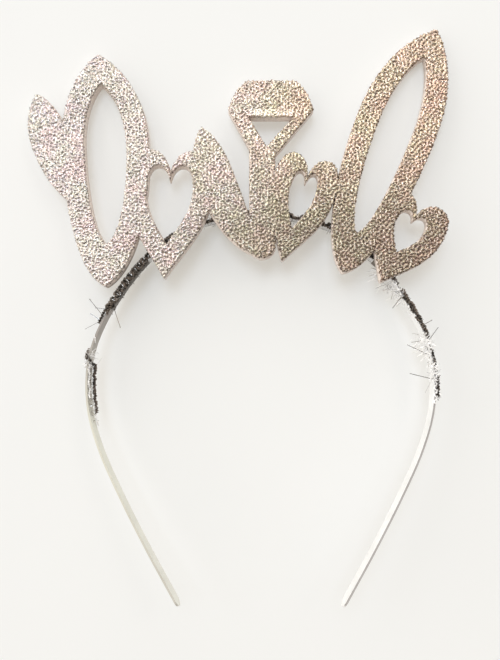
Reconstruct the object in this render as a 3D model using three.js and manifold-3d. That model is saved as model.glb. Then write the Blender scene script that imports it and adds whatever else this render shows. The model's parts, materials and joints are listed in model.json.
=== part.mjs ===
import * as THREE from 'three';
import { mergeVertices } from 'three/addons/utils/BufferGeometryUtils.js';
import Module from 'manifold-3d';

// A party tiara lying on its back: a flat metal band, tinsel cord wound round it, and a glitter sheet in
// front of the crown. Millimetres. The pieces are laid out flat first, X to the right, Y up with the crown
// at 0 and Z towards the front. The whole is then tipped as it lies, on its crown and on two leaf tips.

// Band
const bandWidth = 5.0;
const bandThickness = 0.7;
const bandHalfSpan = 63.4;
const bandDrop = 141.0;

// Tinsel cord wound round the band
const wrapGap = 0.15;
const wrapWall = 0.35;
const wrapRidge = 0.3;
const wrapPitch = 3.2;
const wrapBreak = 0.3;

// Glitter sheet
const sheetWidth = 158.0;
const sheetHeight = 99.5;
const sheetThickness = 3.2;
const sheetGap = 0.3;
const sheetFootDrop = 28.3;
const leafStroke = 8.2;
const heartStroke = 7.0;
const gemWidth = 32.2;
const gemHeight = 35.3;
const gemShift = 3.3;
const gemStroke = 7.4;
const stemWidth = 9.4;

// Glue beads behind the sheet
const glueLength = 9.0;
const glueWidth = 3.2;
const glueHeight = 3.4;
const glueGap = 0.3;

// Fineness of the facets
const bandSteps = 96;
const tipSteps = 6;
const wrapStepsPerTurn = 5;
const wrapSides = 8;
const outlineSteps = 14;
const glueSides = 14;

// Band's right half from crown to tip: how far down, as a share of bandDrop, and out, of bandHalfSpan
const BAND_ROWS = [
  { down: 0.000, out: 0.000 },
  { down: 0.009, out: 0.228 },
  { down: 0.036, out: 0.424 },
  { down: 0.080, out: 0.567 },
  { down: 0.136, out: 0.700 },
  { down: 0.202, out: 0.810 },
  { down: 0.280, out: 0.912 },
  { down: 0.365, out: 0.982 },
  { down: 0.445, out: 1.000 },
  { down: 0.530, out: 0.978 },
  { down: 0.622, out: 0.910 },
  { down: 0.728, out: 0.796 },
  { down: 0.855, out: 0.642 },
  { down: 1.000, out: 0.452 },
];

// Wound stretches, as shares of the band's length from its left tip to its right tip
const WRAP_ROWS = [
  { name: 'tinsel_wrap_left_side', from: 0.197, to: 0.260 },
  { name: 'tinsel_wrap_left', from: 0.310, to: 0.372 },
  { name: 'tinsel_wrap_crown', from: 0.372, to: 0.628 },
  { name: 'tinsel_wrap_right', from: 0.628, to: 0.700 },
  { name: 'tinsel_wrap_right_side', from: 0.700, to: 0.780 },
];

// Glue beads, as shares of the band's length
const GLUE_ROWS = [
  { name: 'glue_bead_left', at: 0.400 },
  { name: 'glue_bead_middle', at: 0.502 },
  { name: 'glue_bead_right', at: 0.596 },
];

// Right half of a motif from its foot to its tip, one curve a row: its two handles and its end, out as a
// share of half the width and up as a share of the length
const LEAF_CURVES = [
  { out1: 0.66, up1: 0.06, out2: 1.00, up2: 0.34, out: 1.00, up: 0.61 },
  { out1: 1.00, up1: 0.81, out2: 0.44, up2: 0.95, out: 0.00, up: 1.00 },
];
const HEART_CURVES = [
  { out1: 0.40, up1: 0.22, out2: 1.00, up2: 0.40, out: 1.00, up: 0.70 },
  { out1: 1.00, up1: 0.92, out2: 0.78, up2: 1.00, out: 0.52, up: 1.00 },
  { out1: 0.26, up1: 1.00, out2: 0.06, up2: 0.93, out: 0.00, up: 0.80 },
];

// Sheet left below and above a motif's opening, in strokes
const LEAF_RIM = { below: 1.9, above: 1.45 };
const HEART_RIM = { below: 1.75, above: 0.85 };

// Leaves and hearts: x as a share of sheetWidth from the band's middle line, y as a share of sheetHeight
// from the sheet's foot, width as a share of sheetWidth, bow as a share of the motif's own width
const LEAF_ROWS = [
  { footX: -0.426, footY: 0.310, tipX: -0.536, tipY: 0.745, width: 0.088, bow: -0.12, stroke: null },
  { footX: -0.356, footY: 0.000, tipX: -0.392, tipY: 0.905, width: 0.205, bow: 0.05, stroke: leafStroke },
  { footX: -0.012, footY: 0.120, tipX: -0.140, tipY: 0.610, width: 0.090, bow: -0.20, stroke: null },
  { footX: 0.190, footY: 0.050, tipX: 0.426, tipY: 1.000, width: 0.192, bow: -0.03, stroke: leafStroke },
];
const HEART_ROWS = [
  { footX: -0.222, footY: 0.030, tipX: -0.209, tipY: 0.520, width: 0.200, bow: 0.00, stroke: heartStroke },
  { footX: 0.050, footY: 0.095, tipX: 0.124, tipY: 0.490, width: 0.152, bow: 0.00, stroke: heartStroke },
  { footX: 0.276, footY: 0.015, tipX: 0.382, tipY: 0.322, width: 0.162, bow: 0.00, stroke: heartStroke },
];

// The gem's point and its stem's foot, placed as the motifs are
const GEM_PLACE = { x: 0.005, pointY: 0.440, stemFootY: 0.105 };

// Right half of the gem from its girdle to its table: out of half gemWidth, up of gemHeight
const GEM_ROWS = [
  { out: 1.00, up: 0.676 },
  { out: 0.82, up: 0.872 },
  { out: 0.58, up: 1.000 },
];

// The gem's window, in strokes: its top under the girdle, its sides inside it, its foot above the point
const GEM_WINDOW = { underGirdle: 0.42, insideGirdle: 1.02, abovePoint: 1.22 };

// How much of the swell a wound corner keeps, which rounds the cord's section
const wrapCorner = 0.62;

// The strip's last section keeps this share of its width, so that its end is a face and not an edge
const tipLeast = 0.2;

const wrapBulk = wrapGap + wrapWall + wrapRidge;
const sheetBack = bandWidth + wrapBulk + sheetGap;

const MATERIALS = {
  band: { color: 0xc9c8c4, roughness: 0.3, metalness: 1.0 },
  tinsel: { color: 0x55524f, roughness: 0.35, metalness: 0.8 },
  glitter: { color: 0xd3c4bb, roughness: 0.4, metalness: 0.6 },
  glue: { color: 0xe6e4de, roughness: 0.15, metalness: 0.0 },
};

const wasm = await Module();
wasm.setup();

function toSolid(geometry) {
  const bare = geometry.clone();
  bare.deleteAttribute('normal');
  bare.deleteAttribute('uv');
  const merged = mergeVertices(bare, 1e-3);
  return new wasm.Manifold(new wasm.Mesh({
    numProp: 3,
    vertProperties: new Float32Array(merged.attributes.position.array),
    triVerts: new Uint32Array(merged.index.array),
  }));
}

function toGeometry(solid) {
  const mesh = solid.getMesh();
  const geometry = new THREE.BufferGeometry();
  geometry.setAttribute('position', new THREE.BufferAttribute(mesh.vertProperties, 3));
  geometry.setIndex(new THREE.BufferAttribute(mesh.triVerts, 1));
  geometry.computeVertexNormals();
  return geometry;
}

// A closed body through rings of the same number of points, with a flat end at each side
function loft(rings) {
  const sides = rings[0].length;
  const positions = rings.flatMap((ring) => ring.flatMap((point) => [point.x, point.y, point.z]));
  const index = [];
  for (let r = 0; r + 1 < rings.length; r += 1) {
    for (let k = 0; k < sides; k += 1) {
      const a = r * sides + k;
      const b = r * sides + (k + 1) % sides;
      index.push(a, b, b + sides, a, b + sides, a + sides);
    }
  }
  const last = (rings.length - 1) * sides;
  for (let k = 1; k + 1 < sides; k += 1) {
    index.push(0, k + 1, k);
    index.push(last, last + k, last + k + 1);
  }
  const geometry = new THREE.BufferGeometry();
  geometry.setAttribute('position', new THREE.Float32BufferAttribute(positions, 3));
  geometry.setIndex(index);
  geometry.computeVertexNormals();
  return geometry;
}

// The band's middle line, from the left tip over the crown to the right tip
function bandCurve() {
  const place = (row, side) => new THREE.Vector3(side * row.out * bandHalfSpan, -row.down * bandDrop, 0);
  const left = BAND_ROWS.slice(1).reverse().map((row) => place(row, -1));
  const right = BAND_ROWS.map((row) => place(row, 1));
  return new THREE.CatmullRomCurve3([...left, ...right], false, 'centripetal');
}

const curve = bandCurve();
const bandLength = curve.getLength();

// A place on the band: its point and the direction square to the band, away from the head
function stationAt(share) {
  const tangent = curve.getTangentAt(share);
  return { point: curve.getPointAt(share), out: new THREE.Vector3(-tangent.y, tangent.x, 0) };
}

// A rectangular section across the band
function stripRing(share, halfThickness, halfWidth) {
  const { point, out } = stationAt(share);
  const corner = (side, front) => point.clone()
    .addScaledVector(out, side * halfThickness)
    .setZ(bandWidth / 2 + front * halfWidth);
  return [corner(-1, -1), corner(1, -1), corner(1, 1), corner(-1, 1)];
}

// The flat strip, its tips rounded to half its width
function bandGeometry() {
  const round = bandWidth / 2;
  const straight = bandLength - 2 * round;
  const roundPlace = (i) => round * (1 - Math.cos(Math.PI / 2 * i / tipSteps));
  const fromTip = Array.from({ length: tipSteps }, (_, i) => roundPlace(i));
  const middle = Array.from({ length: bandSteps + 1 }, (_, i) => round + straight * i / bandSteps);
  const places = [...fromTip, ...middle, ...fromTip.map((place) => bandLength - place).reverse()];
  const rings = places.map((along) => {
    const short = 1 - Math.min(along, bandLength - along, round) / round;
    const share = Math.max(Math.sqrt(1 - short * short), tipLeast);
    return stripRing(along / bandLength, bandThickness / 2, round * share);
  });
  return loft(rings);
}

// Points round the band, two on each of its corners, with a ridge of cord where the winding passes
function woundRing(share, turn) {
  const { point, out } = stationAt(share);
  return Array.from({ length: wrapSides }, (_, k) => {
    const angle = 2 * Math.PI / wrapSides * (k + 0.5);
    const reach = wrapGap + wrapWall + wrapRidge * (0.5 + 0.5 * Math.cos(turn - angle));
    const isFace = Math.abs(Math.cos(angle)) > Math.abs(Math.sin(angle));
    const across = (bandThickness / 2 + reach) * (isFace ? 1 : wrapCorner);
    const along = bandWidth / 2 + reach * (isFace ? wrapCorner : 1);
    return point.clone()
      .addScaledVector(out, Math.sign(Math.cos(angle)) * across)
      .setZ(bandWidth / 2 + Math.sign(Math.sin(angle)) * along);
  });
}

// A wound stretch: a spiral ridge outside, and a passage for the band inside
function wrapGeometry(row) {
  const from = row.from + wrapBreak / 2 / bandLength;
  const to = row.to - wrapBreak / 2 / bandLength;
  const turns = (to - from) * bandLength / wrapPitch;
  const woundSteps = Math.ceil(turns * wrapStepsPerTurn);
  const wound = Array.from({ length: woundSteps + 1 }, (_, i) => (
    woundRing(from + (to - from) * i / woundSteps, 2 * Math.PI * turns * i / woundSteps)));
  const past = bandWidth / bandLength / 2;
  const passageSteps = Math.ceil(bandSteps * (to - from)) + 2;
  const passage = Array.from({ length: passageSteps + 1 }, (_, i) => (
    stripRing(from - past + (to - from + 2 * past) * i / passageSteps,
      bandThickness / 2 + wrapGap, bandWidth / 2 + wrapGap)));
  return toGeometry(toSolid(loft(wound)).subtract(toSolid(loft(passage))));
}

// Turns shares of the sheet into a place on it
function sheetPoint(x, y) {
  return new THREE.Vector2(x * sheetWidth, y * sheetHeight - sheetFootDrop);
}

// A motif's outline, standing with its foot on the origin and its tip straight up
function outlinePoints(curves, length, width) {
  const half = width / 2;
  const path = new THREE.Path();
  path.moveTo(0, 0);
  curves.forEach((c) => path.bezierCurveTo(
    c.out1 * half, c.up1 * length, c.out2 * half, c.up2 * length, c.out * half, c.up * length));
  const right = path.getPoints(outlineSteps);
  const left = right.slice(1, -1).reverse().map((point) => new THREE.Vector2(-point.x, point.y));
  return [...right, ...left];
}

// Bows an outline sideways, most at its middle
function bowed(points, length, bow) {
  return points.map((p) => new THREE.Vector2(p.x + 4 * bow * (p.y / length) * (1 - p.y / length), p.y));
}

function slab(shape) {
  return toSolid(new THREE.ExtrudeGeometry(shape, { depth: sheetThickness, bevelEnabled: false }));
}

// A leaf or heart of the sheet, with an opening of the same form inside its stroke
function motif(row, curves, rim) {
  const foot = sheetPoint(row.footX, row.footY);
  const tip = sheetPoint(row.tipX, row.tipY);
  const length = foot.distanceTo(tip);
  const width = row.width * sheetWidth;
  const bow = row.bow * width;
  const shape = new THREE.Shape(bowed(outlinePoints(curves, length, width), length, bow));
  if (row.stroke) {
    const openLength = length - (rim.below + rim.above) * row.stroke;
    const opening = outlinePoints(curves, openLength, width - 2 * row.stroke);
    opening.forEach((point) => point.setY(point.y + rim.below * row.stroke));
    shape.holes.push(new THREE.Path(bowed(opening, length, bow)));
  }
  const lean = THREE.MathUtils.radToDeg(tip.sub(foot).angle()) - 90;
  return slab(shape).rotate([0, 0, lean]).translate([foot.x, foot.y, 0]);
}

// The outline of a cut gem, with a three-sided window
function gemSolid() {
  const point = sheetPoint(GEM_PLACE.x, GEM_PLACE.pointY);
  const middle = point.x + gemShift;
  const corner = (row, side) => (
    new THREE.Vector2(middle + side * row.out * gemWidth / 2, point.y + row.up * gemHeight));
  const right = GEM_ROWS.map((row) => corner(row, 1));
  const left = GEM_ROWS.map((row) => corner(row, -1)).reverse();
  const shape = new THREE.Shape([point, ...right, ...left]);
  const halfWindow = gemWidth / 2 - GEM_WINDOW.insideGirdle * gemStroke;
  const windowTop = right[0].y - GEM_WINDOW.underGirdle * gemStroke;
  shape.holes.push(new THREE.Path([
    new THREE.Vector2(middle - halfWindow, windowTop),
    new THREE.Vector2(middle + halfWindow, windowTop),
    new THREE.Vector2((middle + point.x) / 2, point.y + GEM_WINDOW.abovePoint * gemStroke),
  ]));
  return slab(shape);
}

// The gem's stem, with a round foot. Its top lies where the gem's point is as wide as the stem.
function stemSolid() {
  const foot = sheetPoint(GEM_PLACE.x, GEM_PLACE.stemFootY);
  const half = stemWidth / 2;
  const steepSide = GEM_ROWS[0].up * gemHeight / (gemWidth / 2 - gemShift);
  const top = sheetPoint(GEM_PLACE.x, GEM_PLACE.pointY).y + steepSide * half;
  const shape = new THREE.Shape();
  shape.moveTo(foot.x + half, top);
  shape.lineTo(foot.x - half, top);
  shape.absarc(foot.x, foot.y + half, half, Math.PI, 2 * Math.PI, false);
  return slab(shape);
}

function sheetGeometry() {
  const pieces = [
    ...LEAF_ROWS.map((row) => motif(row, LEAF_CURVES, LEAF_RIM)),
    ...HEART_ROWS.map((row) => motif(row, HEART_CURVES, HEART_RIM)),
    gemSolid(),
    stemSolid(),
  ];
  return toGeometry(pieces.reduce((whole, piece) => whole.add(piece)));
}

function makeMesh(name, geometry, look) {
  const mesh = new THREE.Mesh(geometry, new THREE.MeshStandardMaterial(look));
  mesh.name = name;
  return mesh;
}

function sheetMesh() {
  const mesh = makeMesh('topper', sheetGeometry(), MATERIALS.glitter);
  mesh.position.z = sheetBack;
  return mesh;
}

// A bead of glue in the corner between the inside of the wound band and the back of the sheet
function glueMesh(row) {
  const geometry = new THREE.SphereGeometry(0.5, glueSides, Math.round(glueSides / 2) + 1);
  geometry.scale(glueLength, glueWidth, glueHeight);
  const mesh = makeMesh(row.name, geometry, MATERIALS.glue);
  const { point, out } = stationAt(row.at);
  const inset = bandThickness / 2 + wrapBulk + glueGap + glueWidth / 2;
  mesh.position.copy(point).addScaledVector(out, -inset).setZ(sheetBack - glueGap - glueHeight / 2);
  mesh.rotation.z = Math.atan2(out.y, out.x) - Math.PI / 2;
  return mesh;
}

// The two leaves that reach highest, the left one first
function tallLeaves() {
  const byHeight = [...LEAF_ROWS].sort((a, b) => b.tipY - a.tipY);
  return byHeight.slice(0, 2).sort((a, b) => a.tipX - b.tipX);
}

// The floor's upward direction in the flat layout: it touches the crown's back and the tall leaves' tips
function floorNormal() {
  const crown = new THREE.Vector3(0, bandThickness / 2 + wrapBulk, -wrapBulk);
  const [left, right] = tallLeaves().map((row) => {
    const tip = sheetPoint(row.tipX, row.tipY);
    return new THREE.Vector3(tip.x, tip.y, sheetBack).sub(crown);
  });
  return right.cross(left).normalize();
}

// Tips the flat layout onto the floor, and centres it over the origin
function layDown(layout) {
  layout.quaternion.setFromUnitVectors(floorNormal(), new THREE.Vector3(0, 0, 1));
  const box = new THREE.Box3().setFromObject(layout, true);
  layout.position.set(-(box.min.x + box.max.x) / 2, -(box.min.y + box.max.y) / 2, -box.min.z);
}

const layout = new THREE.Group();
layout.add(makeMesh('headband', bandGeometry(), MATERIALS.band));
WRAP_ROWS.forEach((row) => layout.add(makeMesh(row.name, wrapGeometry(row), MATERIALS.tinsel)));
layout.add(sheetMesh());
GLUE_ROWS.forEach((row) => layout.add(glueMesh(row)));
layDown(layout);

const tiara = new THREE.Group();
tiara.add(layout);

export default tiara;
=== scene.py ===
# A party tiara on a pale floor: a glitter sheet, a satin metal band, wound tinsel and clear glue. Metres.
import json
import math
from collections import namedtuple

import bpy
import numpy as np
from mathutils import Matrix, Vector
from mathutils.geometry import delaunay_2d_cdt

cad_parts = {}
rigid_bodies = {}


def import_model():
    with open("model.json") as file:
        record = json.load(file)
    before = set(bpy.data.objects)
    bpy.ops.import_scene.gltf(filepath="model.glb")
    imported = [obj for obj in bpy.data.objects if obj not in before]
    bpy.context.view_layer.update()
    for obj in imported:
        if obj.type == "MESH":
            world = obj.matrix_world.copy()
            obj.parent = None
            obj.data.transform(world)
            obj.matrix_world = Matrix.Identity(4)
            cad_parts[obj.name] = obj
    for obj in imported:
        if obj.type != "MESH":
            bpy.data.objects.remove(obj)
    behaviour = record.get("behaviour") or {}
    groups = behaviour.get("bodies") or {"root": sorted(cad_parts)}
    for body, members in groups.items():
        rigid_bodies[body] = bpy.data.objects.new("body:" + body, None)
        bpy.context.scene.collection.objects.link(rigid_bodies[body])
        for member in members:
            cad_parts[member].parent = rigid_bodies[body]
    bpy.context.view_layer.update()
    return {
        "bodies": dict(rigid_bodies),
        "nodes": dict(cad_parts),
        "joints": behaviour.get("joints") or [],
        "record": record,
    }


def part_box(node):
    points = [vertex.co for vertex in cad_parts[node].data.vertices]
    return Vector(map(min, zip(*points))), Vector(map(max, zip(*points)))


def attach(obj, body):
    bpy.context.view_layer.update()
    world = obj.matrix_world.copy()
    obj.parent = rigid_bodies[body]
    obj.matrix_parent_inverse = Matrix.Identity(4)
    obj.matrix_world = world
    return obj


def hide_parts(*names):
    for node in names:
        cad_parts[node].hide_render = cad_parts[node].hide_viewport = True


MM = 0.001
SEED = 7

# Camera, looking straight down. Its place is given from the band's middle and from the crown.
CAMERA_HEIGHT = 194 * MM
CAMERA_LEFT_OF_BAND = 3.8 * MM
CAMERA_BELOW_CROWN = 43.9 * MM
FOCAL_LENGTH_PER_HEIGHT = 500 / 660
SENSOR = 36.0

# Glitter sheet: its mesh and the crinkle of its film, in millimetres
SHEET_STEP = 0.31
SHEET_JITTER = 0.16
SHARP_CORNER = math.radians(28)
CORNER_EASING = 4
CRINKLE_LENGTH = 1.18
CRINKLE_SPREAD = 0.42
CRINKLE_WAVES = 72
CRINKLE_HEIGHT = 0.24
CRINKLE_CREASE = 2.0
EDGE_ROUNDING = 0.22
EDGE_RAGGED = 0.27
GLITTER_DEPTH = 0.55
CUT_STEP = 0.05
CUT_PROUD = 0.12
CUT_FLARE = 0.22
LIP_WIDTH = 3.2
LIP_HEIGHT = 0.5

# Glitter: the film's colour from left to right, and three sizes of spots that multiply it
GLITTER_DRIFT = (-0.12, 0.88)
GLITTER_PATCH_SHARE = 0.35
GLITTER_PATCH_SCALE = 55.0
GLITTER_BASE = [(0.10, (0.635, 0.603, 0.610)), (0.45, (0.715, 0.682, 0.665)),
                (0.72, (0.725, 0.660, 0.540)), (1.00, (0.715, 0.605, 0.500))]
GLITTER_SPOTS = [
    {"scale": 650.0, "detail": 2.0,
     "stops": [(0.38, (0.80, 0.79, 0.79)), (0.50, (1.0, 1.0, 1.0)), (0.62, (1.14, 1.14, 1.14))]},
    {"scale": 110.0, "detail": 1.0,
     "stops": [(0.36, (1.045, 0.955, 0.965)), (0.50, (1.0, 0.995, 0.99)), (0.64, (0.98, 1.0, 0.95))]},
    {"scale": 900.0, "detail": 1.0,
     "stops": [(0.34, (1.03, 0.965, 0.995)), (0.50, (1.0, 1.0, 1.0)), (0.66, (0.99, 1.01, 0.935))]},
]
# Painted shade: the glitter's colour is darkened towards the lower right, down to this factor
GLITTER_PAINTED_SHADE_LOWER_RIGHT = 0.58
GLITTER_ROUGHNESS = (0.14, 0.24)

# Painted shade darkens the crinkle's valleys, less so at the left, and a painted highlight brightens the lip
# over the window
GLITTER_PAINTED_VALLEY_SHADE = [(0.04, (0.38, 0.30, 0.28)), (0.34, (0.88, 0.85, 0.83)), (0.90, (1.0, 1.0, 1.0))]
VALLEY_SHADE_LEFT = 0.30
LIP_PAINTED_HIGHLIGHT = 1.4
LIP_FULL = 2.5

# Flakes: how many to the metre, how far they tilt and their tones, a few of them dark
FLAKE_SCALE = 3600.0
FLAKE_TILT = 0.30
FLAKE_TONES = [(0.16, (0.22, 0.20, 0.20)), (0.32, (0.84, 0.84, 0.84)), (0.90, (1.24, 1.24, 1.24))]

CORE_TONES = [(0.3, (0.68, 0.58, 0.53)), (0.7, (0.86, 0.79, 0.74))]
GLUE_TONES = [(0.3, (0.80, 0.80, 0.76)), (0.7, (0.93, 0.93, 0.90))]

# Band: its tone from left to right, darker to the left as painted shade, and a patch of painted shade on its
# left side from the tips to the crown
BAND_TONES_WITH_PAINTED_SHADE = [(0.0, (0.79, 0.785, 0.70)), (0.35, (0.85, 0.84, 0.79)), (0.75, (1.0, 1.0, 1.0))]
BAND_CLOUDS = [(0.3, (0.90, 0.90, 0.89)), (0.7, (1.0, 1.0, 1.0))]
BAND_METALLIC = 0.75
BAND_ROUGHNESS = (0.28, 0.42)
BAND_PAINTED_SHADE = (0.36, 0.33, 0.31)
BAND_PAINTED_SHADE_UP = [(0.46, (0.0, 0.0, 0.0)), (0.56, (0.5, 0.5, 0.5)), (0.68, (1.0, 1.0, 1.0))]
BAND_PAINTED_SHADE_ACROSS = [(0.30, (1.0, 1.0, 1.0)), (0.45, (0.0, 0.0, 0.0))]

# The band's front edge: the painted shade that multiplies its tone from left to right, darker to the right,
# and how much metal it keeps. It is the part of the band whose normal points this far up.
BAND_EDGE_PAINTED_SHADE = [(0.0, (0.97, 0.97, 0.97)), (0.45, (0.55, 0.54, 0.55)), (1.0, (0.42, 0.41, 0.42))]
BAND_EDGE_METAL = 0.1
BAND_EDGE_FACING = (0.75, 0.95)

# Tinsel: twisted cords round the band, and cut film, each in one of four materials
DARK, SILVER, WHITE, BROWN = 0, 1, 2, 3
CORD_TONES = [(0.40, (0.025, 0.021, 0.018)), (0.72, (0.22, 0.195, 0.170))]
# Film rows: the white film's glow is painted light, a faint emission for light passing through thin film
FILM_ROWS = [
    {"name": "silver_film", "colour": (0.80, 0.80, 0.82), "metallic": 0.85, "roughness": 0.22, "glow": 0.0},
    {"name": "white_film", "colour": (0.97, 0.97, 0.98), "metallic": 0.0, "roughness": 0.40, "glow": 0.08},
    {"name": "brown_film", "colour": (0.20, 0.165, 0.14), "metallic": 0.6, "roughness": 0.35, "glow": 0.0},
]
FILM_DARK = 0.7
SECTION_POWER = 0.5
CORD_TWIST = 2.2
THREAD_STEP = 0.28
THREAD_SIDES = 6
THREAD_KNOTS = 0.38
KNOT_LENGTH = 1.3
SLEEVE_STEP = 0.5
SLEEVE_SIDES = 28
FILM_PARTS = 3
FILM_WIDTH = 0.20
SPIKE_WIDTH = 0.24
SPIKE_RISE = 0.15
STRETCHES = ["tinsel_wrap_left_side", "tinsel_wrap_left", "tinsel_wrap_crown",
             "tinsel_wrap_right", "tinsel_wrap_right_side"]
LEFT_SIDE, LEFT, CROWN, RIGHT, RIGHT_SIDE = STRETCHES

# Cords: the share of the stretch they run from and to, and the turn round the band where they start and
# end. A turn of 0 is the band's front edge, a quarter its outer side, and minus a quarter its inner side.
# A braided cord also swings to and fro in waves.
Cord = namedtuple("Cord", "stretch first last start end lift radius slot swing waves phase",
                  defaults=(0, 0, 0))
CORDS = [
    Cord(LEFT_SIDE, 0.06, 0.86, -0.33, -0.29, 0.55, 0.34, BROWN, 0.02, 4, 0.2),
    Cord(LEFT_SIDE, 0.20, 0.84, -0.31, -0.28, 0.75, 0.24, DARK, 0.02, 5, 0.6),
    Cord(LEFT_SIDE, 0.85, 0.99, -0.29, 0.14, 0.05, 0.32, DARK),
    Cord(LEFT_SIDE, 0.97, 1.10, 0.14, 0.18, 0.05, 0.28, BROWN),
    Cord(LEFT_SIDE, 0.30, 0.92, -0.22, -0.14, 0.05, 0.20, WHITE, 0.03, 3, 0.0),
    Cord(LEFT_SIDE, -0.15, 0.30, -0.36, -0.30, 0.30, 0.15, WHITE, 0.03, 3, 0.5),
    Cord(LEFT, -0.30, 0.10, 0.20, 0.03, 0.00, 0.32, DARK),
    Cord(LEFT, -0.12, 0.30, -0.06, 0.00, 0.05, 0.30, BROWN, 0.03, 1, 0.0),
    Cord(LEFT, -0.02, 1.00, 0.00, 0.00, 0.15, 0.36, DARK, 0.12, 4, 0.00),
    Cord(LEFT, 0.05, 1.00, 0.00, 0.00, 0.20, 0.34, BROWN, 0.13, 4, 0.33),
    Cord(LEFT, 0.02, 1.00, 0.00, 0.00, 0.15, 0.34, DARK, 0.13, 4, 0.67),
    Cord(LEFT, 0.10, 1.00, 0.00, 0.02, 0.75, 0.13, SILVER, 0.10, 8, 0.10),
    Cord(LEFT, -0.62, -0.50, -0.20, 0.08, 0.00, 0.10, WHITE),
    Cord(CROWN, 0.00, 1.00, 0.02, 0.02, 0.10, 0.34, DARK, 0.08, 9, 0.00),
    Cord(CROWN, 0.00, 1.00, 0.02, 0.02, 0.20, 0.30, BROWN, 0.10, 8, 0.50),
    Cord(CROWN, 0.00, 1.00, -0.12, -0.12, 0.20, 0.17, WHITE, 0.06, 12, 0.20),
    Cord(RIGHT, -0.10, 0.42, 0.06, 0.02, 0.00, 0.38, BROWN, 0.02, 1, 0.0),
    Cord(RIGHT, 0.26, 0.48, 0.10, 0.04, 0.15, 0.30, DARK, 0.04, 1, 0.0),
    Cord(RIGHT, 0.14, 0.62, -0.10, 0.00, 0.30, 0.24, WHITE, 0.05, 3, 0.40),
    Cord(RIGHT, 0.56, 1.02, 0.03, 0.04, 0.05, 0.34, BROWN, 0.03, 2, 0.0),
    Cord(RIGHT, 0.66, 1.02, -0.05, 0.00, 0.10, 0.30, DARK, 0.03, 2, 0.5),
    Cord(RIGHT, 0.60, 1.00, -0.12, -0.10, 0.10, 0.16, WHITE, 0.04, 3, 0.40),
    Cord(RIGHT_SIDE, -0.02, 0.28, 0.02, 0.05, 0.05, 0.34, DARK, 0.03, 2, 0.00),
    Cord(RIGHT_SIDE, -0.02, 0.24, -0.04, 0.08, 0.10, 0.28, BROWN, 0.03, 2, 0.50),
    Cord(RIGHT_SIDE, 0.22, 0.50, 0.00, -0.04, 0.10, 0.24, WHITE, 0.07, 3, 0.00),
    Cord(RIGHT_SIDE, 0.42, 0.63, 0.00, 0.03, 0.00, 0.24, DARK),
    Cord(RIGHT_SIDE, 0.60, 0.84, -0.02, 0.02, 0.10, 0.22, WHITE, 0.08, 3, 0.30),
    Cord(RIGHT_SIDE, 0.76, 1.00, 0.12, 0.14, 0.10, 0.30, DARK, 0.05, 3, 0.00),
    Cord(RIGHT_SIDE, 0.82, 0.97, 0.17, 0.18, 0.35, 0.22, BROWN, 0.05, 2, 0.50),
    Cord(RIGHT_SIDE, 0.84, 1.10, -0.02, 0.02, 0.10, 0.16, WHITE, 0.05, 3, 0.00),
]

# Sleeves: where film lies flat round the band under the cords
Sleeve = namedtuple("Sleeve", "stretch first last lift slot")
SLEEVES = [
    Sleeve(LEFT, 0.00, 1.00, 0.30, DARK),
    Sleeve(CROWN, 0.00, 1.00, 0.22, SILVER),
    Sleeve(RIGHT, 0.00, 0.30, 0.25, BROWN),
]

# Fuzz: how many film ends to a millimetre, where they grow, how long they are, and their mix of slots
Fuzz = namedtuple("Fuzz", "stretch first last per_mm turn spread length mix")
FUZZ = [
    Fuzz(LEFT_SIDE, -0.1, 0.9, 7, -0.32, 0.14, 1.1, (0.20, 0.20, 0.30, 0.30)),
    Fuzz(LEFT_SIDE, 0.8, 1.1, 18, 0.00, 0.30, 1.8, (0.05, 0.25, 0.60, 0.10)),
    Fuzz(LEFT, -0.1, 1.0, 8, 0.00, 0.30, 0.9, (0.25, 0.35, 0.20, 0.20)),
    Fuzz(LEFT, 0.0, 1.0, 10, 0.00, 0.10, 0.6, (0.10, 0.60, 0.30, 0.00)),
    Fuzz(CROWN, 0.0, 1.0, 6, 0.00, 0.40, 1.2, (0.20, 0.30, 0.40, 0.10)),
    Fuzz(RIGHT, 0.12, 0.42, 12, -0.12, 0.16, 2.4, (0.02, 0.16, 0.80, 0.02)),
    Fuzz(RIGHT, 0.10, 0.45, 6, -0.25, 0.08, 6.5, (0.00, 0.15, 0.80, 0.05)),
    Fuzz(RIGHT, 0.42, 0.70, 10, -0.16, 0.16, 2.0, (0.04, 0.20, 0.72, 0.04)),
    Fuzz(RIGHT, 0.45, 0.75, 5, -0.25, 0.08, 5.0, (0.00, 0.20, 0.75, 0.05)),
    Fuzz(RIGHT, 0.55, 1.00, 9, 0.02, 0.22, 1.0, (0.20, 0.25, 0.25, 0.30)),
    Fuzz(RIGHT_SIDE, 0.0, 0.28, 14, 0.08, 0.22, 1.2, (0.15, 0.30, 0.35, 0.20)),
    Fuzz(RIGHT_SIDE, 0.24, 0.46, 11, -0.05, 0.24, 2.2, (0.02, 0.16, 0.80, 0.02)),
    Fuzz(RIGHT_SIDE, 0.22, 0.50, 7, -0.24, 0.08, 5.5, (0.00, 0.15, 0.80, 0.05)),
    Fuzz(RIGHT_SIDE, 0.46, 0.66, 10, -0.12, 0.18, 1.6, (0.04, 0.20, 0.72, 0.04)),
    Fuzz(RIGHT_SIDE, 0.64, 0.84, 14, -0.06, 0.22, 1.8, (0.04, 0.20, 0.72, 0.04)),
    Fuzz(RIGHT_SIDE, 0.74, 1.03, 16, 0.18, 0.18, 1.5, (0.35, 0.20, 0.20, 0.25)),
]

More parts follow.
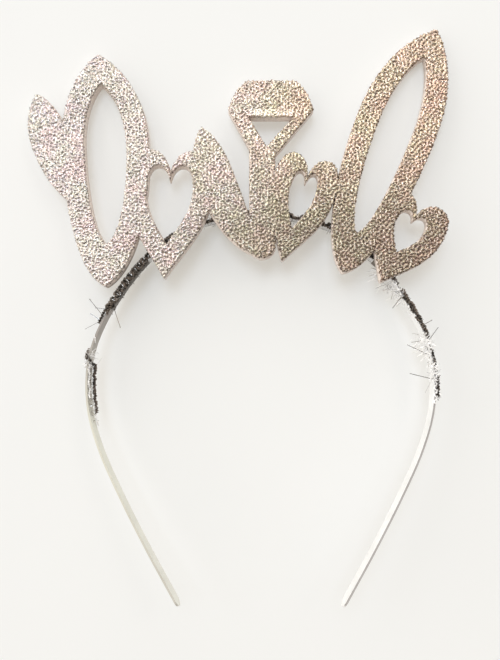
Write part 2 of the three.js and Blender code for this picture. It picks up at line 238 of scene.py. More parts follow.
# Long film ends: the turn they grow at, and how far they lean along the band from straight out, in degrees
Spike = namedtuple("Spike", "stretch share turn lean length slot")
SPIKES = [
    Spike(LEFT_SIDE, 0.73, -0.25, 128, 7.0, DARK),
    Spike(LEFT_SIDE, 1.00, 0.20, 0, 3.0, SILVER),
    Spike(LEFT, -0.17, 0.20, 25, 8.5, DARK),
    Spike(LEFT, -0.23, 0.20, -56, 7.0, DARK),
    Spike(LEFT, -0.25, 0.20, 10, 5.0, SILVER),
    Spike(LEFT, -0.03, 0.20, -24, 4.6, SILVER),
    Spike(LEFT, 0.06, -0.20, -141, 9.0, BROWN),
    Spike(LEFT, 0.05, -0.20, -104, 8.0, DARK),
    Spike(RIGHT, 0.25, -0.20, -168, 7.5, WHITE),
    Spike(RIGHT, 0.65, -0.20, 163, 6.0, DARK),
    Spike(RIGHT, 0.95, -0.20, -136, 4.5, WHITE),
    Spike(RIGHT_SIDE, 0.12, 0.20, -6, 4.2, DARK),
    Spike(RIGHT_SIDE, 0.32, 0.20, -36, 6.0, DARK),
    Spike(RIGHT_SIDE, 0.50, -0.20, -145, 9.5, DARK),
    Spike(RIGHT_SIDE, 0.80, -0.20, -167, 9.0, DARK),
    Spike(RIGHT_SIDE, 0.78, -0.20, 123, 6.5, DARK),
]

# Lights: where each comes from, its size in metres and its strength in watts
LIGHT_DISTANCE = 2.4
Light = namedtuple("Light", "name toward size watts colour")
LIGHTS = [
    Light("window", (-0.14, 0.40, 0.90), 1.3, 18.4, (0.80, 0.90, 1.0)),
    Light("side_window", (-0.70, 0.35, 0.62), 0.9, 2.9, (0.86, 0.95, 1.0)),
    Light("lamp", (0.50, 0.50, 0.70), 0.6, 3.0, (1.0, 0.92, 0.80)),
]

# Surroundings: how bright they are by height (0 is the horizon, 1 is overhead), and low down from the lower
# right to the upper left
SKY_HEIGHTS = [(0.15, (1.63, 1.55, 1.42)), (0.45, (1.03, 0.94, 0.82)), (0.80, (0.81, 0.715, 0.59)),
               (0.95, (0.14, 0.12, 0.105))]
SKY_LOWER_RIGHT = 0.05
SKY_UPPER_LEFT = 2.00
SKY_SLANT = 1.4
SKY_LOW_DOWN = (0.85, 0.45)

# Floor: its half size in metres, its tones, and its own slight glow
FLOOR_HALF = 6.0
FLOOR_TONES = [(0.3, (0.573, 0.603, 0.652)), (0.7, (0.586, 0.616, 0.665))]
FLOOR_GLOW = (1.0, 0.95, 0.83)
FLOOR_GLOW_STRENGTH = 0.30


def adder(tree):
    """A function that adds a node to the tree and fills or links its inputs, by their order or by name"""
    def fill(socket, value):
        if isinstance(value, bpy.types.NodeSocket):
            tree.links.new(value, socket)
        else:
            socket.default_value = value

    def add(kind, settings=None, *values, **inputs):
        node = tree.nodes.new(kind)
        for key, value in (settings or {}).items():
            setattr(node, key, value)
        for socket, value in zip(node.inputs, values):
            fill(socket, value)
        for key, value in inputs.items():
            fill(node.inputs[key.replace("_", " ")], value)
        return node

    return add


def look(name):
    """A new material with its links, its shader and a function that adds nodes"""
    material = bpy.data.materials.new(name)
    material.use_nodes = True
    tree = material.node_tree
    return material, tree.links, tree.nodes["Principled BSDF"], adder(tree)


def ramp(add, value, stops):
    """A colour ramp with the given (place, colour) stops"""
    node = add("ShaderNodeValToRGB", Fac=value)
    elements = node.color_ramp.elements
    elements[0].position, elements[0].color = stops[0][0], (*stops[0][1], 1)
    elements[1].position, elements[1].color = stops[-1][0], (*stops[-1][1], 1)
    for place, colour in stops[1:-1]:
        element = elements.new(place)
        element.color = (*colour, 1)
    return node.outputs["Color"]


def position(add):
    return add("ShaderNodeNewGeometry").outputs["Position"]


def noise(add, place, scale, detail):
    """Soft noise with about this many spots to the metre"""
    return add("ShaderNodeTexNoise", Vector=place, Scale=scale, Detail=detail).outputs["Fac"]


def remap(add, value, first, last, low=0.0, high=1.0):
    """A value taken from between first and last to between low and high, and held there"""
    node = add("ShaderNodeMapRange", Value=value, From_Min=first, From_Max=last, To_Min=low, To_Max=high)
    return node.outputs["Result"]


def calculate(add, operation, *values):
    return add("ShaderNodeMath", {"operation": operation}, *values).outputs["Value"]


def combine(add, operation, *values):
    """Vectors or colours combined part by part"""
    return add("ShaderNodeVectorMath", {"operation": operation}, *values).outputs["Vector"]


def scaled(add, vector, amount):
    return add("ShaderNodeVectorMath", {"operation": "SCALE"}, vector, Scale=amount).outputs["Vector"]


def mixed(add, amount, first, second):
    return add("ShaderNodeMixRGB", Fac=amount, Color1=first, Color2=second).outputs["Color"]


def glitter_colour(add, place, patches, low, high):
    """Silver on the left, warmer to the right, with painted shade at the lower right and in the crinkle's
    valleys, and a painted highlight on the lip
    """
    width, height = high.x - low.x, high.y - low.y
    split = add("ShaderNodeSeparateXYZ", Vector=place)
    across, upward = split.outputs["X"], split.outputs["Y"]
    drift = remap(add, across, low.x, high.x, *GLITTER_DRIFT)
    colour = ramp(add, calculate(add, "MULTIPLY_ADD", patches, GLITTER_PATCH_SHARE, drift), GLITTER_BASE)
    for row in GLITTER_SPOTS:
        spots = ramp(add, noise(add, place, row["scale"], row["detail"]), row["stops"])
        colour = combine(add, "MULTIPLY", colour, spots)

    # Painted shade: darker towards the lower right
    right = remap(add, across, low.x + 0.2 * width, low.x + 0.6 * width)
    lower = remap(add, upward, high.y - 0.45 * height, high.y - 0.78 * height)
    shade = remap(add, calculate(add, "MULTIPLY", right, lower), 0.0, 1.0, 1.0, GLITTER_PAINTED_SHADE_LOWER_RIGHT)
    colour = scaled(add, colour, shade)

    # Painted shade: the crinkle's valleys are darkened, less so at the left
    relief = add("ShaderNodeAttribute", {"attribute_name": "relief"}).outputs["Fac"]
    valleys = ramp(add, remap(add, relief, -1.0, 1.0), GLITTER_PAINTED_VALLEY_SHADE)
    depth = remap(add, across, low.x, high.x - 0.25 * width, VALLEY_SHADE_LEFT, 1.0)
    colour = combine(add, "MULTIPLY", colour, mixed(add, depth, (1, 1, 1, 1), valleys))
    # Painted highlight: the colour is brightened on the raised lip over the window
    return scaled(add, colour, remap(add, relief, 1.0, LIP_FULL, 1.0, LIP_PAINTED_HIGHLIGHT))


def glitter_material(low, high):
    """Metallic flakes on crinkled film: each flake has its own tilt, tone and gloss"""
    material, links, shader, add = look("glitter")
    place = position(add)
    flakes = add("ShaderNodeTexVoronoi", Vector=place, Scale=FLAKE_SCALE, Randomness=1.0).outputs["Color"]
    patches = noise(add, place, GLITTER_PATCH_SCALE, 2.0)
    colour = glitter_colour(add, place, patches, low, high)
    toned = combine(add, "MULTIPLY", colour, ramp(add, flakes, FLAKE_TONES))
    links.new(toned, shader.inputs["Base Color"])

    tilt = scaled(add, combine(add, "SUBTRACT", flakes, (0.5, 0.5, 0.5)), FLAKE_TILT)
    normal = add("ShaderNodeNewGeometry").outputs["Normal"]
    links.new(combine(add, "NORMALIZE", combine(add, "ADD", normal, tilt)), shader.inputs["Normal"])
    links.new(remap(add, patches, 0.0, 1.0, *GLITTER_ROUGHNESS), shader.inputs["Roughness"])
    shader.inputs["Metallic"].default_value = 0.9
    shader.inputs["Coat Weight"].default_value = 0.6
    shader.inputs["Coat Roughness"].default_value = 0.2
    return material


def core_material():
    """The sheet's pale foam core, cut through at the edges"""
    material, links, shader, add = look("foam_core")
    pores = noise(add, position(add), 2400.0, 3.0)
    links.new(ramp(add, pores, CORE_TONES), shader.inputs["Base Color"])
    bump = add("ShaderNodeBump", Height=pores, Strength=0.5, Distance=0.2 * MM)
    links.new(bump.outputs["Normal"], shader.inputs["Normal"])
    shader.inputs["Roughness"].default_value = 0.75
    return material


def band_material(low, high):
    """Satin metal: darker to the left as painted shade, with a patch of painted shade and no metal where the
    left is bare, and a matt front edge darkened by painted shade, more to the right
    """
    material, links, shader, add = look("satin_band")
    place = position(add)
    split = add("ShaderNodeSeparateXYZ", Vector=place)
    across = remap(add, split.outputs["X"], low.x, high.x)
    upward = remap(add, split.outputs["Y"], low.y, high.y)
    cloud = noise(add, place, 120.0, 4.0)
    # Painted shade: the band's tone is darker to the left
    band_tone = combine(add, "MULTIPLY", ramp(add, across, BAND_TONES_WITH_PAINTED_SHADE), ramp(add, cloud, BAND_CLOUDS))
    # Painted shade: a darker patch on the band's upper left, where the metal is also taken off
    shade_patch_up, shade_patch_across = ramp(add, upward, BAND_PAINTED_SHADE_UP), ramp(add, across, BAND_PAINTED_SHADE_ACROSS)
    shade_patch = calculate(add, "MULTIPLY", shade_patch_up, shade_patch_across)
    flat = mixed(add, shade_patch, band_tone, (*BAND_PAINTED_SHADE, 1))

    normal = add("ShaderNodeNewGeometry").outputs["Normal"]
    facing = add("ShaderNodeSeparateXYZ", Vector=normal).outputs["Z"]
    # Painted shade: the up-facing front edge is darkened, more to the right
    edge = combine(add, "MULTIPLY", flat, ramp(add, across, BAND_EDGE_PAINTED_SHADE))
    links.new(mixed(add, remap(add, facing, *BAND_EDGE_FACING), flat, edge), shader.inputs["Base Color"])

    metal = remap(add, shade_patch, 0.0, 1.0, BAND_METALLIC, 0.0)
    kept = remap(add, facing, *BAND_EDGE_FACING, 1.0, BAND_EDGE_METAL)
    links.new(calculate(add, "MULTIPLY", metal, kept), shader.inputs["Metallic"])
    links.new(remap(add, cloud, 0.0, 1.0, *BAND_ROUGHNESS), shader.inputs["Roughness"])
    scratches = noise(add, place, 1500.0, 2.0)
    bump = add("ShaderNodeBump", Height=scratches, Strength=0.15, Distance=0.1 * MM)
    links.new(bump.outputs["Normal"], shader.inputs["Normal"])
    return material


def cord_material():
    """Dark metallic thread"""
    material, links, shader, add = look("dark_thread")
    grain = noise(add, position(add), 1300.0, 2.0)
    links.new(ramp(add, grain, CORD_TONES), shader.inputs["Base Color"])
    shader.inputs["Metallic"].default_value = 0.75
    shader.inputs["Roughness"].default_value = 0.32
    return material


def film_material(row):
    """Cut metallised film; thin white film also has a painted glow, a faint emission for the light that
    passes through it
    """
    material, links, shader, add = look(row["name"])
    colour = row["colour"]
    grain = noise(add, position(add), 700.0, 1.0)
    dark = tuple(part * FILM_DARK for part in colour)
    links.new(ramp(add, grain, [(0.35, dark), (0.6, colour)]), shader.inputs["Base Color"])
    shader.inputs["Metallic"].default_value = row["metallic"]
    shader.inputs["Roughness"].default_value = row["roughness"]
    # Painted glow: an emission of the film's own colour, as strong as the row says
    shader.inputs["Emission Color"].default_value = (*colour, 1)
    shader.inputs["Emission Strength"].default_value = row["glow"]
    return material


def glue_material():
    """Clear hot glue, a little milky"""
    material, links, shader, add = look("clear_glue")
    cloud = noise(add, position(add), 400.0, 2.0)
    links.new(ramp(add, cloud, GLUE_TONES), shader.inputs["Base Color"])
    shader.inputs["Roughness"].default_value = 0.12
    shader.inputs["Transmission Weight"].default_value = 0.7
    shader.inputs["IOR"].default_value = 1.49
    return material


def floor_material():
    """A plain pale table top, with a little glow of its own that keeps the shade on it pale"""
    material, links, shader, add = look("floor")
    cloud = noise(add, position(add), 9.0, 2.0)
    links.new(ramp(add, cloud, FLOOR_TONES), shader.inputs["Base Color"])
    shader.inputs["Emission Color"].default_value = (*FLOOR_GLOW, 1.0)
    shader.inputs["Emission Strength"].default_value = FLOOR_GLOW_STRENGTH
    shader.inputs["Roughness"].default_value = 1.0
    shader.inputs["Specular IOR Level"].default_value = 0.0
    return material


def mesh_object(name, points, faces, materials, face_slots=None, smooth=True):
    """A mesh from points in metres and faces, with a material slot for each face"""
    mesh = bpy.data.meshes.new(name)
    mesh.from_pydata([tuple(p) for p in points], [], [tuple(f) for f in faces])
    for material in materials:
        mesh.materials.append(material)
    if face_slots is not None:
        mesh.polygons.foreach_set("material_index", np.asarray(face_slots, np.int32))
    mesh.polygons.foreach_set("use_smooth", np.full(len(mesh.polygons), smooth))
    mesh.validate()
    mesh.update()
    piece = bpy.data.objects.new(name, mesh)
    bpy.context.scene.collection.objects.link(piece)
    return piece


class SheetFrame:
    """The flat layout's own axes in the tipped part: right, up along the sheet, and out of its front"""

    def __init__(self, mesh):
        up_facing = [p for p in mesh.polygons if p.normal.z > 0.9]
        out = sum((p.normal * p.area for p in up_facing), Vector()).normalized()
        right = (Vector((1, 0, 0)) - out * out.x).normalized()
        self.axes = np.array([right, out.cross(right), out])
        self.origin = np.array(mesh.vertices[up_facing[0].vertices[0]].co)

    def flat(self, points):
        """World points in metres to layout points in millimetres, with 0 at the sheet's front"""
        return (np.asarray(points) - self.origin) @ self.axes.T / MM

    def world(self, points):
        return np.asarray(points) * MM @ self.axes + self.origin


def mesh_points(mesh):
    points = np.zeros(len(mesh.vertices) * 3)
    mesh.vertices.foreach_get("co", points)
    return points.reshape(-1, 3)


def front_loops(mesh, frame):
    """The outlines of the sheet's front, each a closed run of flat points"""
    flat = frame.flat(mesh_points(mesh))[:, :2]
    keys = {}
    ids = [keys.setdefault((round(x, 3), round(y, 3)), len(keys)) for x, y in flat]
    spots = np.array(list(keys))
    rims = set()
    for polygon in mesh.polygons:
        if polygon.normal.z > 0.9:
            corners = [ids[v] for v in polygon.vertices]
            rims.update(zip(corners, corners[1:] + corners[:1]))
    following = {a: b for a, b in rims if (b, a) not in rims}
    loops = []
    while following:
        start, spot = following.popitem()
        loop = [start]
        while spot != start:
            loop.append(spot)
            spot = following.pop(spot)
        loops.append(spots[loop])
    return loops


def smooth_loop(loop, step):
    """Rounds a faceted outline between its sharp corners, spaces its points evenly and eases the corners"""
    before = np.roll(loop, 1, axis=0)
    after = np.roll(loop, -1, axis=0)
    into = loop - before
    onward = after - loop
    into /= np.linalg.norm(into, axis=1)[:, None]
    onward /= np.linalg.norm(onward, axis=1)[:, None]
    turn = np.arccos(np.clip((into * onward).sum(1), -1, 1))
    along = into + onward
    along /= np.linalg.norm(along, axis=1)[:, None] + 1e-9
    sharp = turn > SHARP_CORNER
    points = []
    for k in range(len(loop)):
        n = (k + 1) % len(loop)
        span = np.linalg.norm(loop[n] - loop[k])
        leave = (onward[k] if sharp[k] else along[k]) * span
        arrive = (into[n] if sharp[n] else along[n]) * span
        count = max(1, round(span / step))
        t = (np.arange(count) / count)[:, None]
        points.append((2 * t**3 - 3 * t**2 + 1) * loop[k] + (t**3 - 2 * t**2 + t) * leave
                      + (3 * t**2 - 2 * t**3) * loop[n] + (t**3 - t**2) * arrive)
    outline = np.concatenate(points)
    for _ in range(CORNER_EASING):
        outline = outline / 2 + (np.roll(outline, 1, axis=0) + np.roll(outline, -1, axis=0)) / 4
    return outline


def crinkle(points, seed):
    """A field of random waves of nearly one length: worm-like ridges and valleys, about -1 to 1"""
    rng = np.random.default_rng(seed)
    heading = rng.uniform(0, 2 * np.pi, CRINKLE_WAVES)
    length = CRINKLE_LENGTH * (1 + CRINKLE_SPREAD * rng.uniform(-1, 1, CRINKLE_WAVES))
    wave = 2 * np.pi / length[:, None] * np.stack([np.cos(heading), np.sin(heading)], 1)
    phase = rng.uniform(0, 2 * np.pi, CRINKLE_WAVES)
    field = np.zeros(len(points))
    for k in range(CRINKLE_WAVES):
        field += np.cos(points @ wave[k] + phase[k])
    return np.tanh(CRINKLE_CREASE * field * math.sqrt(2 / CRINKLE_WAVES))


class Region:
    """The area inside a set of closed outlines"""

    def __init__(self, loops):
        self.a = np.concatenate(loops)
        self.b = np.concatenate([np.roll(loop, -1, axis=0) for loop in loops])

    def crossings(self, y):
        """Where a level line crosses the outlines, from left to right"""
        hit = (self.a[:, 1] > y) != (self.b[:, 1] > y)
        a, b = self.a[hit], self.b[hit]
        return np.sort(a[:, 0] + (y - a[:, 1]) * (b[:, 0] - a[:, 0]) / (b[:, 1] - a[:, 1]))

    def row_inside(self, xs, y):
        return np.searchsorted(self.crossings(y), xs) % 2 == 1

    def fill(self, step, margin, rng):
        """Jittered points on a triangular grid, kept away from the outlines"""
        low, high = self.a.min(0), self.a.max(0)
        rows = []
        for k, y in enumerate(np.arange(low[1], high[1], step * math.sqrt(3) / 2)):
            xs = np.arange(low[0] + step / 2 * (k % 2), high[0], step)
            keep = self.row_inside(xs - margin, y) & self.row_inside(xs + margin, y)
            keep &= self.row_inside(xs, y - margin) & self.row_inside(xs, y + margin)
            rows.append(np.stack([xs[keep], np.full(keep.sum(), y)], 1))
        points = np.concatenate(rows)
        return points + rng.uniform(-SHEET_JITTER, SHEET_JITTER, points.shape) * step


def outward(loop):
    """Unit directions out of the sheet at each point of an outline that runs with the sheet on its left"""
    along = np.roll(loop, -1, axis=0) - np.roll(loop, 1, axis=0)
    along /= np.linalg.norm(along, axis=1)[:, None] + 1e-9
    return np.stack([along[:, 1], -along[:, 0]], 1)


def window_lip(flat, loops):
    """Raises the strip just above the middle window, where the film is pushed up along the cut"""
    boxes = [(loop.min(0), loop.max(0)) for loop in loops]
    low, high = min(b[0][0] for b in boxes), max(b[1][0] for b in boxes)
    windows = [b for b in boxes if b[1][0] - b[0][0] < (high - low) / 2]
    central = [b for b in windows if abs(b[0][0] + b[1][0] - low - high) < (high - low) / 6]
    (left, _), (right, top) = max(central, key=lambda b: b[1][1])
    above = (flat[:, 1] - top) / LIP_WIDTH
    inside = (flat[:, 0] > left) & (flat[:, 0] < right) & (above > -0.1) & (above < 1)
    return np.where(inside, LIP_HEIGHT * (1 - np.clip(above, 0, 1)), 0)


def build_sheet(node, materials):
    """The sheet with a crinkled front, ragged edges, cut walls and a flat back"""
    frame = SheetFrame(node.data)
    depth = -frame.flat(mesh_points(node.data))[:, 2].min()
    loops = [smooth_loop(loop, SHEET_STEP) for loop in front_loops(node.data, frame)]
    rng = np.random.default_rng(SEED)
    inner = Region(loops).fill(SHEET_STEP, 0.6 * SHEET_STEP, rng)
    rim = np.concatenate(loops)
    flat = np.concatenate([rim, inner])
    starts = np.cumsum([0] + [len(loop) for loop in loops])
    rim_edges = [(s + k, s + (k + 1) % (e - s)) for s, e in zip(starts, starts[1:]) for k in range(e - s)]
    result = delaunay_2d_cdt([Vector(p) for p in flat], rim_edges, [], 0, 1e-5, True)
    source = np.array([ids[0] if ids else -1 for ids in result[3]])
    triangles = source[np.array(result[2])]
    triangles = triangles[(triangles >= 0).all(1)]
    on_rim = (triangles < len(rim)).all(1)
    region = Region(loops)
    middle = flat[triangles].mean(1)
    kept = np.array([not edge or bool(region.row_inside(np.array([m[0]]), m[1])[0])
                     for edge, m in zip(on_rim, middle)])
    triangles = triangles[kept]

    height = CRINKLE_HEIGHT * crinkle(flat, SEED) + window_lip(flat, loops)
    height[:len(rim)] -= EDGE_ROUNDING
    away = np.concatenate([outward(loop) for loop in loops])
    ragged = flat.copy()
    ragged[:len(rim)] += away * EDGE_RAGGED * crinkle(rim, SEED + 1)[:, None]
    front = np.column_stack([ragged, height])
    skirt = np.column_stack([ragged[:len(rim)], np.full(len(rim), -GLITTER_DEPTH)])
    cut = np.column_stack([rim + CUT_PROUD * away, np.full(len(rim), -GLITTER_DEPTH - CUT_STEP)])
    back = np.column_stack([rim + CUT_FLARE * away, np.full(len(rim), -depth)])
    points = np.concatenate([front, skirt, cut, back])

    first = len(front)
    rings = [0, first, first + len(rim), first + 2 * len(rim)]
    faces = [tuple(t) for t in triangles]
    slots = [0] * len(faces)
    for level, (upper, lower) in enumerate(zip(rings, rings[1:])):
        walls = [(upper + b, upper + a, lower + a, lower + b) for a, b in rim_edges]
        faces += walls
        slots += [min(level, 1)] * len(walls)
    faces += back_faces(flat[:len(rim)], rim_edges, region, rings[3])
    slots += [2] * (len(faces) - len(slots))
    sheet = mesh_object("glitter_sheet", frame.world(points), faces, materials, slots)
    relief = np.full(len(points), -1.0)
    relief[:len(front)] = height / CRINKLE_HEIGHT
    sheet.data.attributes.new("relief", "FLOAT", "POINT").data.foreach_set("value", relief)
    return sheet


def back_faces(rim, rim_edges, region, offset):
    """The sheet's flat back, from its outline points alone"""
    result = delaunay_2d_cdt([Vector(p) for p in rim], rim_edges, [], 0, 1e-5, True)
    source = [ids[0] if ids else -1 for ids in result[3]]
    faces = []
    for triangle in result[2]:
        corners = [source[k] for k in triangle]
        middle = rim[corners].mean(0)
        if min(corners) >= 0 and region.row_inside(middle[:1], middle[1])[0]:
            faces.append(tuple(offset + k for k in reversed(corners)))
    return faces


class BandLine:
    """The band in the flat layout: its middle line from the left tip over the crown, and its section"""

    def __init__(self, mesh, frame):
        flat = frame.flat(mesh_points(mesh))
        front, back = flat[:, 2].max(), flat[:, 2].min()
        self.half_deep = (front - back) / 2
        self.depth = (front + back) / 2
        rim = np.unique(flat[flat[:, 2] > self.depth][:, :2].round(3), axis=0)
        gaps = np.linalg.norm(rim[:, None] - rim[None], axis=2)
        np.fill_diagonal(gaps, np.inf)
        across = gaps.argmin(1)
        self.half_across = np.median(gaps.min(1)) / 2
        middle = (rim + rim[across]) / 2
        middle = middle[gaps.min(1) > self.half_across]
        centre = np.array([middle[:, 0].mean(), middle[:, 1].mean()])
        spin = np.arctan2(middle[:, 0] - centre[0], middle[:, 1] - centre[1])
        self.points = middle[np.argsort(spin)]
        run = np.linalg.norm(np.diff(self.points, axis=0), axis=1)
        self.at = np.concatenate([[0], np.cumsum(run)])
        self.length = self.at[-1]

    def place(self, s):
        x, y = self.points.T
        return np.stack([np.interp(s, self.at, x), np.interp(s, self.at, y)], -1)

    def station(self, s):
        """Points on the line, and the directions along it and away from the head there"""
        along = self.place(np.minimum(s + 1.5, self.length)) - self.place(np.maximum(s - 1.5, 0))
        along /= np.linalg.norm(along, axis=-1)[..., None]
        return self.place(s), along, np.stack([-along[..., 1], along[..., 0]], -1)

    def stretch(self, mesh, frame):
        """The stretch of the line that a wrap covers"""
        flat = frame.flat(mesh_points(mesh))[:, :2]
        fine = np.linspace(0, self.length, 1500)
        spots = self.place(fine)
        nearest = [fine[np.argmin(((spots - p) ** 2).sum(1))] for p in flat[::5]]
        return min(nearest), max(nearest)


class Winding:
    """One wound stretch: finds places round the band, and collects the mesh of what is wound there"""

    def __init__(self, band, low, high, rng):
        self.band, self.low, self.high, self.rng = band, low, high, rng
        self.points, self.faces, self.slots, self.count = [], [], [], 0

    def add(self, points, faces, slot):
        self.points.append(points)
        self.faces.extend(tuple(int(k) + self.count for k in face) for face in faces)
        self.slots.extend([slot] * len(faces))
        self.count += len(points)

    def round_band(self, share, turn, lift):
        """Places at the given shares of the stretch and turns round the band (0 is its front edge)"""
        middle, _, out = self.band.station(self.low + share * (self.high - self.low))
        angle = 2 * np.pi * turn
        side, deep = np.sin(angle), np.cos(angle)
        reach = np.sign(side) * np.abs(side) ** SECTION_POWER * (self.band.half_across + lift)
        level = np.sign(deep) * np.abs(deep) ** SECTION_POWER * (self.band.half_deep + lift)
        spots = np.column_stack([middle + out * reach[:, None], self.band.depth + level])
        normals = np.column_stack([out * side[:, None], deep])
        return spots, normals

    def thread(self, cord, strand):
        """One of the two threads of a twisted cord; strand is 0 or a half turn"""
        span = (cord.last - cord.first) * (self.high - self.low)
        round_once = 4 * (self.band.half_deep + self.band.half_across)
        length = math.hypot(span, round_once * (abs(cord.end - cord.start) + 4 * cord.swing * cord.waves))
        count = max(8, int(length / THREAD_STEP))
        t = np.linspace(0, 1, count)
        share = cord.first + (cord.last - cord.first) * t
        swing = np.sin(2 * np.pi * (cord.waves * t + cord.phase))
        turn = cord.start + (cord.end - cord.start) * t + cord.swing * swing
        hop = 0.3 * cord.radius * np.sin(4 * np.pi * (cord.waves * t + cord.phase) + 1.0)
        spots, normals = self.round_band(share, turn, cord.lift + 2 * cord.radius + hop)
        along = np.gradient(spots, axis=0)
        along /= np.linalg.norm(along, axis=1)[:, None]
        normals -= along * (normals * along).sum(1)[:, None]
        normals /= np.linalg.norm(normals, axis=1)[:, None]
        sideways = np.cross(along, normals)
        spin = 2 * np.pi * (t * length / CORD_TWIST + strand)
        radius = cord.radius * (1 + THREAD_KNOTS * np.sin(2 * np.pi * (t * length / KNOT_LENGTH + strand)))
        centre = spots + cord.radius * (np.cos(spin)[:, None] * normals + np.sin(spin)[:, None] * sideways)
        ring = (np.arange(THREAD_SIDES) * 2 * np.pi / THREAD_SIDES)[None, :, None]
        rings = np.cos(ring) * normals[:, None] + np.sin(ring) * sideways[:, None]
        self.tube(centre[:, None] + radius[:, None, None] * rings, cord.slot)

    def tube(self, rings, slot):
        """A closed tube through rings of points"""
        count, sides = rings.shape[:2]
        faces = []
        for k in range(count - 1):
            for j in range(sides):
                n = (j + 1) % sides
                faces.append((k * sides + j, k * sides + n, (k + 1) * sides + n, (k + 1) * sides + j))
        faces.append(tuple(reversed(range(sides))))
        faces.append(tuple((count - 1) * sides + j for j in range(sides)))
        self.add(rings.reshape(-1, 3), faces, slot)

    def sleeve(self, row):
        """Crumpled film flat round the band"""
        count = max(8, int((row.last - row.first) * (self.high - self.low) / SLEEVE_STEP))
        turns = np.arange(SLEEVE_SIDES) / SLEEVE_SIDES
        rings = []
        for share in np.linspace(row.first, row.last, count):
            lift = row.lift + self.rng.uniform(-0.1, 0.1, SLEEVE_SIDES)
            rings.append(self.round_band(np.full(SLEEVE_SIDES, share), turns, lift)[0])
        self.tube(np.array(rings), row.slot)

    def film(self, root, way, length, width, slot, bend):
        """A narrow cut of film that stands out from a root, gently bent"""
        way = way / np.linalg.norm(way)
        flat_way = np.cross(way, self.rng.normal(size=3))
        flat_way /= np.linalg.norm(flat_way)
        curl = np.cross(way, flat_way) * bend * length * self.rng.uniform(-1, 1)
        t = np.linspace(0, 1, FILM_PARTS + 1)[:, None]
        line = root + way * length * t + curl * t * t
        half = flat_way * width / 2
        points = np.concatenate([line - half, line + half])
        n = FILM_PARTS + 1
        faces = [(k, k + 1, n + k + 1, n + k) for k in range(FILM_PARTS)]
        self.add(points, faces, slot)

    def fuzz(self, row):
        """Short film ends that stick out all along a part of the stretch"""
        count = int(row.per_mm * (row.last - row.first) * (self.high - self.low))
        share = self.rng.uniform(row.first, row.last, count)
        turn = row.turn + row.spread * self.rng.uniform(-1, 1, count)
        spots, normals = self.round_band(share, turn, 0.4)
        _, along, _ = self.band.station(self.low + share * (self.high - self.low))
        for k in range(count):
            drift = np.array([along[k, 0], along[k, 1], 0]) * self.rng.normal(0, 0.8)
            way = normals[k] + drift + self.rng.normal(0, 0.35, 3)
            slot = self.rng.choice(len(row.mix), p=row.mix)
            width = FILM_WIDTH * self.rng.uniform(0.6, 1.2)
            self.film(spots[k], way, row.length * self.rng.uniform(0.4, 1.0), width, slot, 0.25)

    def spike(self, row):
        """One long straight film end"""
        spots, _ = self.round_band(np.array([row.share]), np.array([row.turn]), 0.2)
        _, along, out = self.band.station(np.array([self.low + row.share * (self.high - self.low)]))
        lean = math.radians(row.lean)
        way = math.cos(lean) * out[0] + math.sin(lean) * along[0]
        self.film(spots[0], np.array([way[0], way[1], SPIKE_RISE]), row.length, SPIKE_WIDTH, row.slot, 0.03)

    def piece(self, name, frame, materials):
        points = frame.world(np.concatenate(self.points))
        return mesh_object(name, points, self.faces, materials, self.slots)


def build_tinsel(nodes, frame, materials):
    """The wound cords, fuzz and long film ends of every wound stretch"""
    band = BandLine(nodes["headband"].data, frame)
    rng = np.random.default_rng(SEED + 2)
    for name in STRETCHES:
        low, high = band.stretch(nodes[name].data, frame)
        winding = Winding(band, low, high, rng)
        for row in (row for row in SLEEVES if row.stretch == name):
            winding.sleeve(row)
        for cord in (row for row in CORDS if row.stretch == name):
            winding.thread(cord, 0.0)
            winding.thread(cord, 0.5)
        for row in (row for row in FUZZ if row.stretch == name):
            winding.fuzz(row)
        for row in (row for row in SPIKES if row.stretch == name):
            winding.spike(row)
        piece = winding.piece(name.replace("wrap", "winding"), frame, materials)
        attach(piece, "root")
        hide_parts(name)


def main():
    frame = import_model()
    nodes = frame["nodes"]
    add_camera()
    add_lights()
    add_world()
    add_floor()

    core = core_material()
    sheet = build_sheet(nodes["topper"], [glitter_material(*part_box("topper")), core, core])
    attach(sheet, "root")
    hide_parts("topper")

    nodes["headband"].data.materials.clear()
    nodes["headband"].data.materials.append(band_material(*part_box("headband")))
    films = [film_material(row) for row in FILM_ROWS]
    build_tinsel(nodes, SheetFrame(nodes["topper"].data), [cord_material(), *films])
    glue = glue_material()
    for side in ("left", "middle", "right"):
        nodes[f"glue_bead_{side}"].data.materials.clear()
        nodes[f"glue_bead_{side}"].data.materials.append(glue)


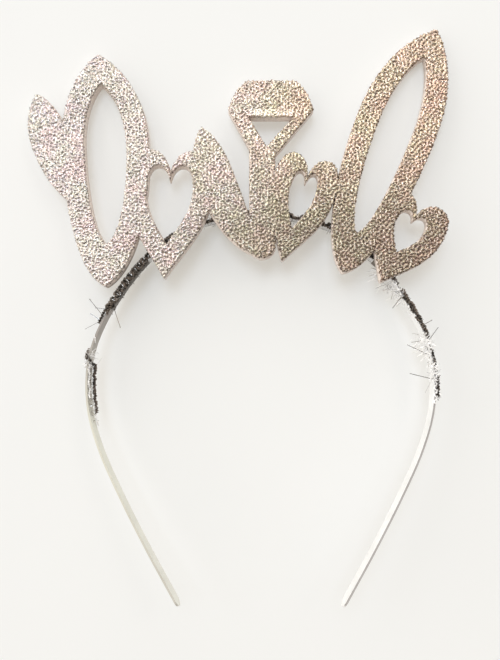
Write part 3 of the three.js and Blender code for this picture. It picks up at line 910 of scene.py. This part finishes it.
def add_camera():
    low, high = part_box("headband")
    camera = bpy.data.objects.new("camera", bpy.data.cameras.new("camera"))
    camera.data.sensor_fit = "VERTICAL"
    camera.data.sensor_height = SENSOR
    camera.data.lens = SENSOR * FOCAL_LENGTH_PER_HEIGHT
    camera.data.clip_start = 0.01
    camera.location = ((low.x + high.x) / 2 - CAMERA_LEFT_OF_BAND, high.y - CAMERA_BELOW_CROWN, CAMERA_HEIGHT)
    bpy.context.scene.collection.objects.link(camera)
    bpy.context.scene.camera = camera


def add_lights():
    for row in LIGHTS:
        data = bpy.data.lights.new(row.name, "AREA")
        data.shape = "DISK"
        data.size = row.size
        data.energy = row.watts
        data.color = row.colour
        toward = Vector(row.toward).normalized()
        light = bpy.data.objects.new(row.name, data)
        light.location = toward * LIGHT_DISTANCE
        light.rotation_euler = toward.to_track_quat("Z", "Y").to_euler()
        bpy.context.scene.collection.objects.link(light)


def add_world():
    """Pale surroundings: bright to the left and low down, dim overhead where the viewer stands"""
    world = bpy.data.worlds.new("surroundings")
    world.use_nodes = True
    tree = world.node_tree
    bpy.context.scene.world = world
    add = adder(tree)
    split = add("ShaderNodeSeparateXYZ", Vector=add("ShaderNodeTexCoord").outputs["Generated"])
    slant = calculate(add, "SUBTRACT", split.outputs["Y"], split.outputs["X"])
    side = remap(add, slant, -SKY_SLANT, SKY_SLANT, SKY_LOWER_RIGHT - 1, SKY_UPPER_LEFT - 1)
    low_down = remap(add, split.outputs["Z"], *SKY_LOW_DOWN)
    amount = calculate(add, "MULTIPLY_ADD", side, low_down, 1.0)
    colour = scaled(add, ramp(add, split.outputs["Z"], SKY_HEIGHTS), amount)
    tree.links.new(colour, tree.nodes["Background"].inputs["Color"])
    tree.nodes["Background"].inputs["Strength"].default_value = 1.0


def add_floor():
    half = FLOOR_HALF
    corners = [(-half, -half, 0), (half, -half, 0), (half, half, 0), (-half, half, 0)]
    floor = mesh_object("floor", corners, [(0, 1, 2, 3)], [floor_material()], smooth=False)
    scene = bpy.context.scene
    scene.view_settings.view_transform = "Standard"
    scene.view_settings.look = "None"


main()
